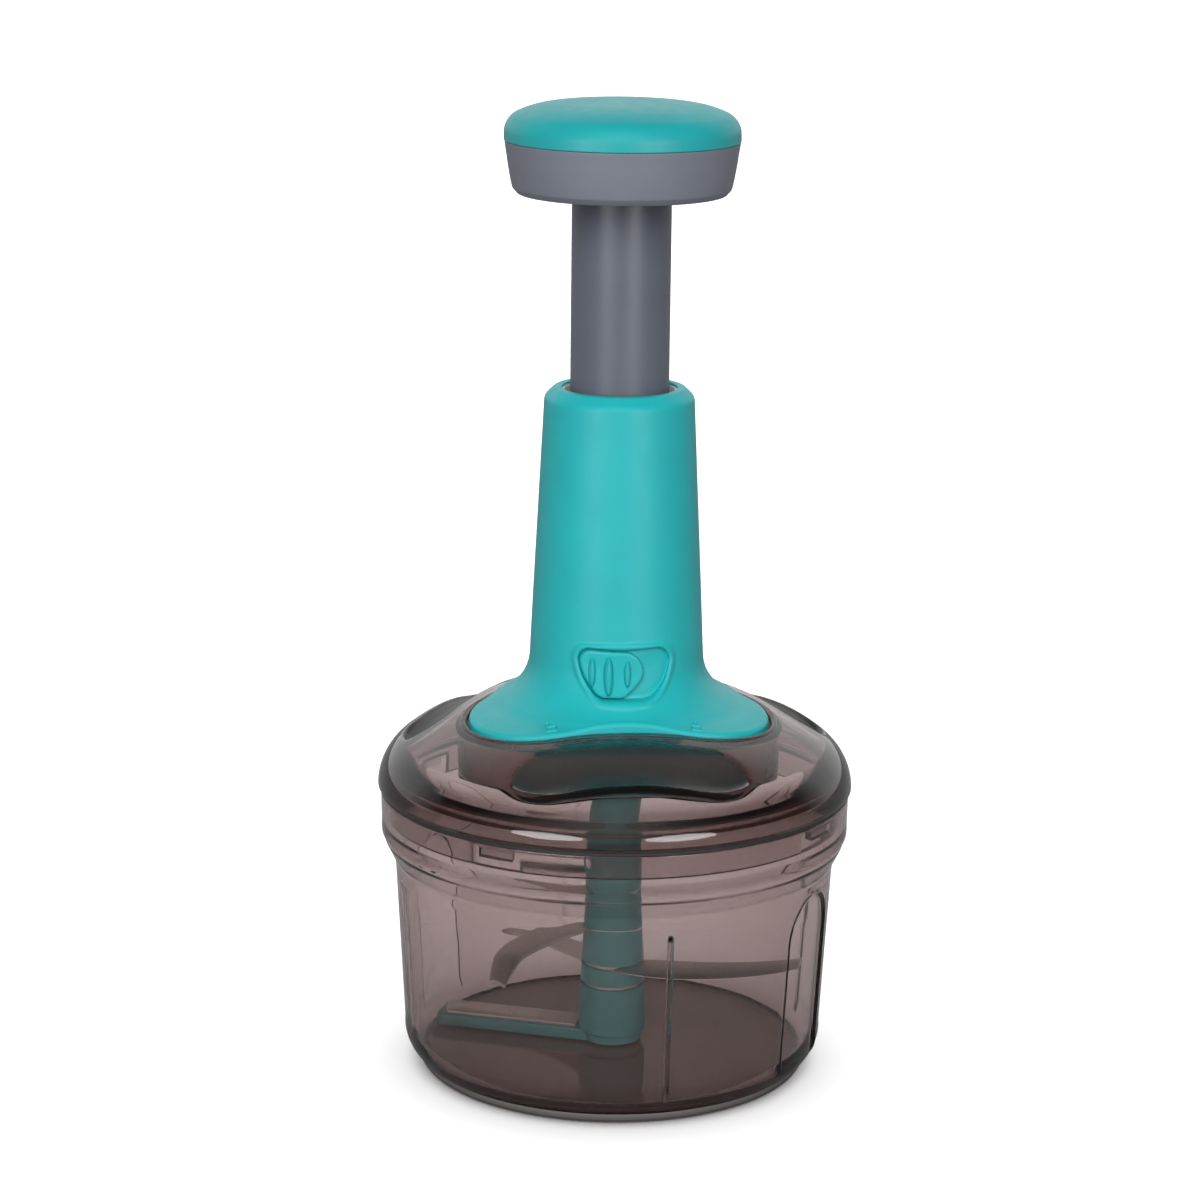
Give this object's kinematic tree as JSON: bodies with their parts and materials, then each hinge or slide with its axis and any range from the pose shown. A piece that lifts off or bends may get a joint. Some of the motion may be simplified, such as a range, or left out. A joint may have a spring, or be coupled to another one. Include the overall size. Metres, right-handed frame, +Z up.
{
  "type": "plunger food chopper",
  "caption": "Hand-press food chopper: a knob on a sprung plunger spins sickle blades in a clear lidded bowl.",
  "frame": {"origin": "middle of the face that it stands on, on the axis of bowl and plunger", "axes": "+Z up along the plunger's axis, -Y towards the front, where the lock slider is, +X to the viewer's right"},
  "size_m": [0.145, 0.145, 0.2954],
  "materials": {
    "smoke_plastic": "clear smoke-tinted, glossy",
    "teal_plastic": "satin",
    "teal_slider": "satin",
    "stem_teal": "satin",
    "grey_plastic": "satin",
    "tube_plastic": "semi-gloss",
    "pale_bush": "satin",
    "dark_plastic": "satin",
    "white_acetal": "satin",
    "dark_silicone": "matt",
    "blade_steel": "brushed",
    "bright_steel": "turned",
    "spring_steel": "drawn wire"
  },
  "bodies": {
    "bowl_unit": {"bowl": "smoke_plastic", "bowl_pin": "bright_steel", "non_slip_base": "dark_silicone"},
    "rim_seal": {"lid_seal": "dark_silicone"},
    "lid_unit": {"lid": "smoke_plastic", "handle_housing": "teal_plastic", "guide_bush": "pale_bush", "base_plate": "grey_plastic", "bearing_cap": "white_acetal", "shaft_seal": "dark_silicone", "housing_screws": "bright_steel", "base_plate_screws": "bright_steel"},
    "plunger": {"knob_cap": "teal_plastic", "knob_cup": "grey_plastic", "plunger_tube": "tube_plastic", "tube_plug": "white_acetal", "knob_screws": "bright_steel", "spiral_nut": "white_acetal", "nut_pins": "bright_steel", "return_spring": "spring_steel"},
    "spiral_drive": {"spiral_rod": "bright_steel", "spring_seat": "white_acetal", "rod_clip": "spring_steel", "clutch_driver": "white_acetal", "clutch_spring": "spring_steel"},
    "dog_socket": {"drive_socket": "white_acetal"},
    "blade_unit": {"blade_stem": "stem_teal", "blade_core": "dark_plastic", "core_screw": "bright_steel", "stem_bush": "white_acetal", "upper_blade": "blade_steel", "middle_blade": "blade_steel", "lower_blade": "blade_steel", "upper_spacer": "stem_teal", "lower_spacer": "stem_teal", "foot_sleeve": "stem_teal", "scraper_arm": "stem_teal", "bottom_blade": "blade_steel"},
    "lock": {"lock_slider": "teal_slider", "lock_latch": "dark_plastic"}
  },
  "joints": [
    {"name": "lid_lift", "type": "slide", "parent": "bowl_unit", "child": "rim_seal", "axis": [0, 0, 1], "range_m": [0, 0.12]},
    {"name": "lid_twist", "type": "hinge", "parent": "rim_seal", "child": "lid_unit", "pos_m": [0, 0, 0.0882], "axis": [0, 0, -1], "range_deg": [0, 17]},
    {"name": "plunger_press", "type": "slide", "parent": "lid_unit", "child": "plunger", "axis": [0, 0, -1], "range_m": [0, 0.055], "stiffness_N_per_m": 250, "springref_m": -0.03, "deforming": ["return_spring"]},
    {"name": "rod_spin", "type": "hinge", "parent": "lid_unit", "child": "spiral_drive", "pos_m": [0, 0, 0.13], "axis": [0, 0, 1], "range_deg": [0, 665]},
    {"name": "socket_spin", "type": "hinge", "parent": "lid_unit", "child": "dog_socket", "pos_m": [0, 0, 0.09], "axis": [0, 0, 1], "range_deg": [0, 665]},
    {"name": "blade_spin", "type": "hinge", "parent": "bowl_unit", "child": "blade_unit", "pos_m": [0, 0, 0.02], "axis": [0, 0, 1], "range_deg": [0, 665]},
    {"name": "lock_slide", "type": "hinge", "parent": "lid_unit", "child": "lock", "pos_m": [0, 0, 0.127], "axis": [0, 0, 1], "range_deg": [0, 16]}
  ],
  "couplings": [
    {"joint": "rod_spin", "follows": "plunger_press", "rad_per_m": 209.44},
    {"joint": "socket_spin", "follows": "plunger_press", "rad_per_m": 209.44},
    {"joint": "blade_spin", "follows": "plunger_press", "rad_per_m": 209.44}
  ]
}
